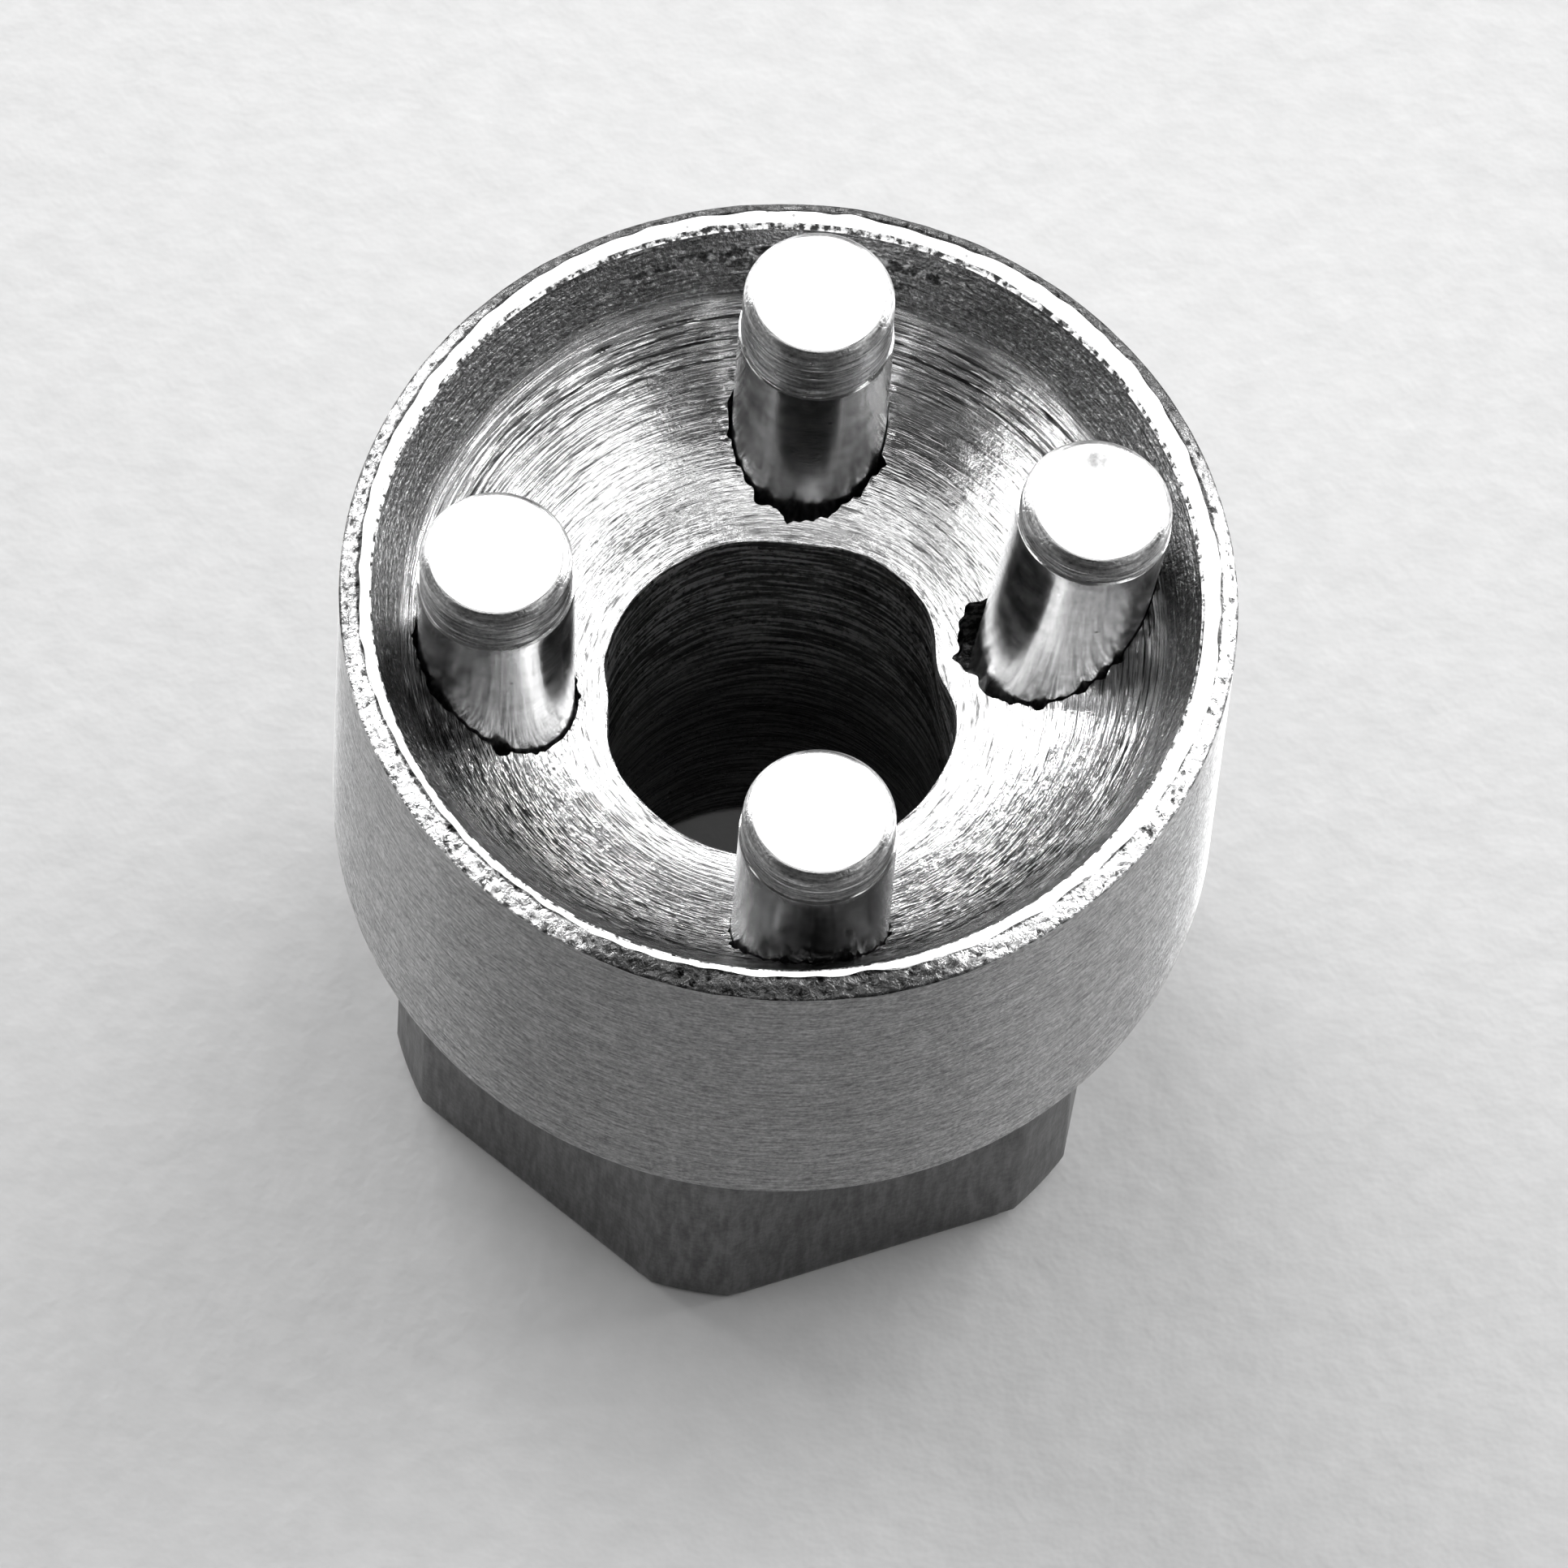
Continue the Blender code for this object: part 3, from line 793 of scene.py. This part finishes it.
def mat_foot():
    t = Tree("steel_foot")
    p, x, y, z, r, c, s = t.coords()
    line = t.noise(t.combine(t.math('MULTIPLY', c, 3.0), t.math('MULTIPLY', s, 3.0), t.math('MULTIPLY', r, 6.0)), 1.0, 4, 0.6)
    grain = t.noise(p, 6.0, 3, 0.6)
    colour = t.ramp(line, ((0.36, 0.26), (0.5, 0.42), (0.62, 0.60)))
    rough = t.remap(grain, 0.3, 0.7, 0.26, 0.40)
    return t.out(colour, rough, t.bump(line, 0.018))


def mat_hole():
    t = Tree("steel_pin_hole")
    p, x, y, z, r, c, s = t.coords()
    grain = t.noise(p, 4.0, 4, 0.65)
    # painted shade: the hole walls are near-black, for the shade down in the holes
    colour = t.ramp(grain, ((0.40, 0.04), (0.5, 0.12), (0.60, 0.50)))
    return t.out(colour, t.remap(grain, 0.3, 0.7, 0.30, 0.5), t.bump(grain, 0.06))


def mat_pin(turned, shade):
    """Ground shank, duller turned tip and bright faced end, told apart by height in the pin's own frame."""
    t = Tree("steel_pin_%03d" % round(turned * 100))
    t.bsdf.inputs["Anisotropic"].default_value = 0.7
    p, x, y, z, r, c, s = t.coords()
    t.link(t.combine(0.02, 0.0, 1.0), t.bsdf.inputs["Tangent"])
    fine = t.noise(t.combine(t.math('MULTIPLY', c, 2.0), t.math('MULTIPLY', s, 2.0), t.math('MULTIPLY', z, 14.0)), 1.0, 3, 0.6)
    smear = t.noise(p, 1.6, 3, 0.6)
    grain = t.noise(p, 10.0, 3, 0.6)
    spots = t.remap(t.voronoi(p, 0.9), 0.03, 0.06, 0.25, 1.0, 'SMOOTHSTEP')
    tone = t.math('MULTIPLY', t.math('ADD', t.math('MULTIPLY', fine, 0.4), t.math('MULTIPLY', smear, 0.6)), spots)
    # painted shade: shade darkens the ground shank of the rear and front pins, shaded copies of the same steel
    ground = t.ramp(tone, ((0.0, 0.10), (0.34, 0.62 * shade), (0.5, 0.74 * shade), (0.64, 0.84 * shade)))
    lathe = t.ramp(t.math('ADD', t.math('MULTIPLY', fine, 0.7), t.math('MULTIPLY', grain, 0.3)), ((0.36, 0.14), (0.5, 0.36), (0.62, 0.66)))
    edge = t.math('ADD', z, t.math('MULTIPLY', t.math('SUBTRACT', smear, 0.5), 0.10))
    band = t.math('MULTIPLY', t.remap(edge, -turned - 0.03, -turned + 0.03, 0.0, 1.0, 'SMOOTHSTEP'), t.remap(z, -0.03, -0.005, 1.0, 0.0))
    mix = t.node('ShaderNodeMix', data_type='RGBA')
    t.link(band, mix.inputs["Factor"])
    face = t.node('ShaderNodeMix', data_type='RGBA')
    t.link(t.remap(z, -0.05, -0.01, 0.0, 1.0), face.inputs["Factor"])
    t.link(ground, face.inputs[6])
    face.inputs[7].default_value = (0.82, 0.82, 0.82, 1)
    t.link(face.outputs[2], mix.inputs[6])
    t.link(lathe, mix.inputs[7])
    rough = t.math('ADD', t.remap(smear, 0.3, 0.7, 0.14, 0.23), t.math('MULTIPLY', band, 0.12))
    n1 = t.bump(fine, 0.002)
    n2 = t.bump(t.math('MULTIPLY', t.math('ADD', fine, grain), band), 0.011, 1.0, n1)
    return t.out(mix.outputs[2], rough, t.bump(grain, 0.0025, 1.0, n2))


def mat_floor():
    t = Tree("floor_paper", (0.5, 0.5, 0.5), 1.0, 0.0)
    tc = t.node('ShaderNodeTexCoord')
    n = t.noise(tc.outputs["Object"], 900.0, 3, 0.6)
    colour = t.ramp(n, ((0.3, 0.42), (0.7, 0.45)))
    # the floor is close to the low softboxes out there, so its tone drops to keep it evenly pale
    away = t.node('ShaderNodeVectorMath', operation='LENGTH')
    t.link(tc.outputs["Object"], away.inputs[0])
    even = t.node('ShaderNodeMix', data_type='RGBA', blend_type='MULTIPLY')
    even.inputs["Factor"].default_value = 1.0
    t.link(colour, even.inputs[6])
    t.link(t.remap(away.outputs["Value"], 0.07, 0.40, 1.0, 0.28, 'SMOOTHSTEP'), even.inputs[7])
    colour = even.outputs[2]
    t.bsdf.inputs["Specular IOR Level"].default_value = 0.0
    return t.out(colour, None, t.bump(n, 0.03))


# ------------------------------------------------------------------ assemble
def build():
    body = build_body()
    for m in (mat_dish(), mat_bore(), mat_land(), mat_bevel(), mat_wall(), mat_hex(), mat_foot(), mat_nicks(), mat_hole()):
        body.data.materials.append(m)
    cut_pin_holes(body)
    old = body.data
    body.data = drop_folds(old)
    bpy.data.meshes.remove(old)
    me = body.data
    nf = len(me.polygons)
    cen = np.zeros(nf * 3, np.float32)
    me.polygons.foreach_get("center", cen)
    cen = cen.reshape(-1, 3) * 1000
    r = np.hypot(cen[:, 0], cen[:, 1])
    z = cen[:, 2]
    idx = np.zeros(nf, np.int32)
    me.polygons.foreach_get("material_index", idx)
    # walls of the pin holes: faces that lie on a cutter, below the dish's surface
    # painted shade: these faces take the near-black hole steel
    idx[(r > 4.8) & (r < 9.9) & (z > 9.5) & (z < dish_z(r) - 0.10)] = 8
    me.polygons.foreach_set("material_index", idx)
    me.shade_smooth()
    me.set_sharp_from_angle(angle=math.radians(34))
    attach(body, "root")
    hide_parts("opener_body")
    for name in PINS:
        pin = build_pin(name)
        # painted shade: the rear and front pins get darker shanks
        pin.data.materials.append(mat_pin(PINS[name][0], {'pin_rear': 0.62, 'pin_front': 0.62}.get(name, 1.0)))
        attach(pin, "root")
        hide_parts(name)


def build_stage():
    # floor: flat under the object, rising very gently far away
    n = 96
    radii = [0.02, 0.06, 0.12, 0.25, 0.4, 0.6, 0.8, 1.0, 1.2, 1.4, 1.6]
    verts, faces = [(0, 0, 0)], []
    for rr in radii:
        h = 0.12 * max(0.0, (rr - 0.5) / 1.1) ** 2
        for k in range(n):
            a = 2 * math.pi * k / n
            verts.append((rr * math.cos(a), rr * math.sin(a), h))
    for k in range(n):
        faces.append((0, 1 + k, 1 + (k + 1) % n))
    for i in range(len(radii) - 1):
        for k in range(n):
            a, b = 1 + i * n + k, 1 + i * n + (k + 1) % n
            faces.append((a, a + n, b + n, b))
    me = bpy.data.meshes.new("floor")
    me.from_pydata(verts, [], faces)
    me.update()
    me.shade_smooth()
    floor = bpy.data.objects.new("floor", me)
    floor.location.z = -0.00002
    scene.collection.objects.link(floor)
    me.materials.append(mat_floor())


def softbox(name, azimuth, elevation, distance, width, height, radiance, aim=(0, 0, 0.012)):
    """Area light; azimuth 0 is behind the object (+Y), 90 to the right (+X)."""
    a, e = math.radians(azimuth), math.radians(elevation)
    pos = Vector((math.sin(a) * math.cos(e), math.cos(a) * math.cos(e), math.sin(e))) * distance
    data = bpy.data.lights.new(name, 'AREA')
    data.shape = 'RECTANGLE'
    data.size, data.size_y = width, height
    data.energy = radiance * math.pi * width * height
    obj = bpy.data.objects.new(name, data)
    scene.collection.objects.link(obj)
    obj.location = pos
    obj.rotation_euler = (Vector(aim) - pos).to_track_quat('-Z', 'Y').to_euler()
    obj.visible_camera = False
    return obj


def build_lights():
    softbox("softbox_back", -4, 60, 0.60, 0.60, 0.42, 1.9)
    softbox("softbox_back_low", 0, 27, 0.66, 0.80, 0.20, 1.3)
    softbox("softbox_left_high", -86, 40, 0.62, 0.76, 0.28, 2.1)
    softbox("softbox_left_low", -46, 14, 0.62, 0.56, 0.30, 16.0)
    softbox("softbox_right_high", 90, 40, 0.62, 0.74, 0.28, 2.2)
    softbox("softbox_right_low", 42, 14, 0.62, 0.60, 0.30, 16.0)
    softbox("softbox_top_front", 182, 76, 0.62, 0.60, 0.24, 1.3)
    world = bpy.data.worlds.new("studio")
    scene.world = world
    world.use_nodes = True
    bg = world.node_tree.nodes["Background"]
    bg.inputs["Color"].default_value = (0.9, 0.9, 0.9, 1)
    bg.inputs["Strength"].default_value = 0.06


build()
build_stage()
build_lights()
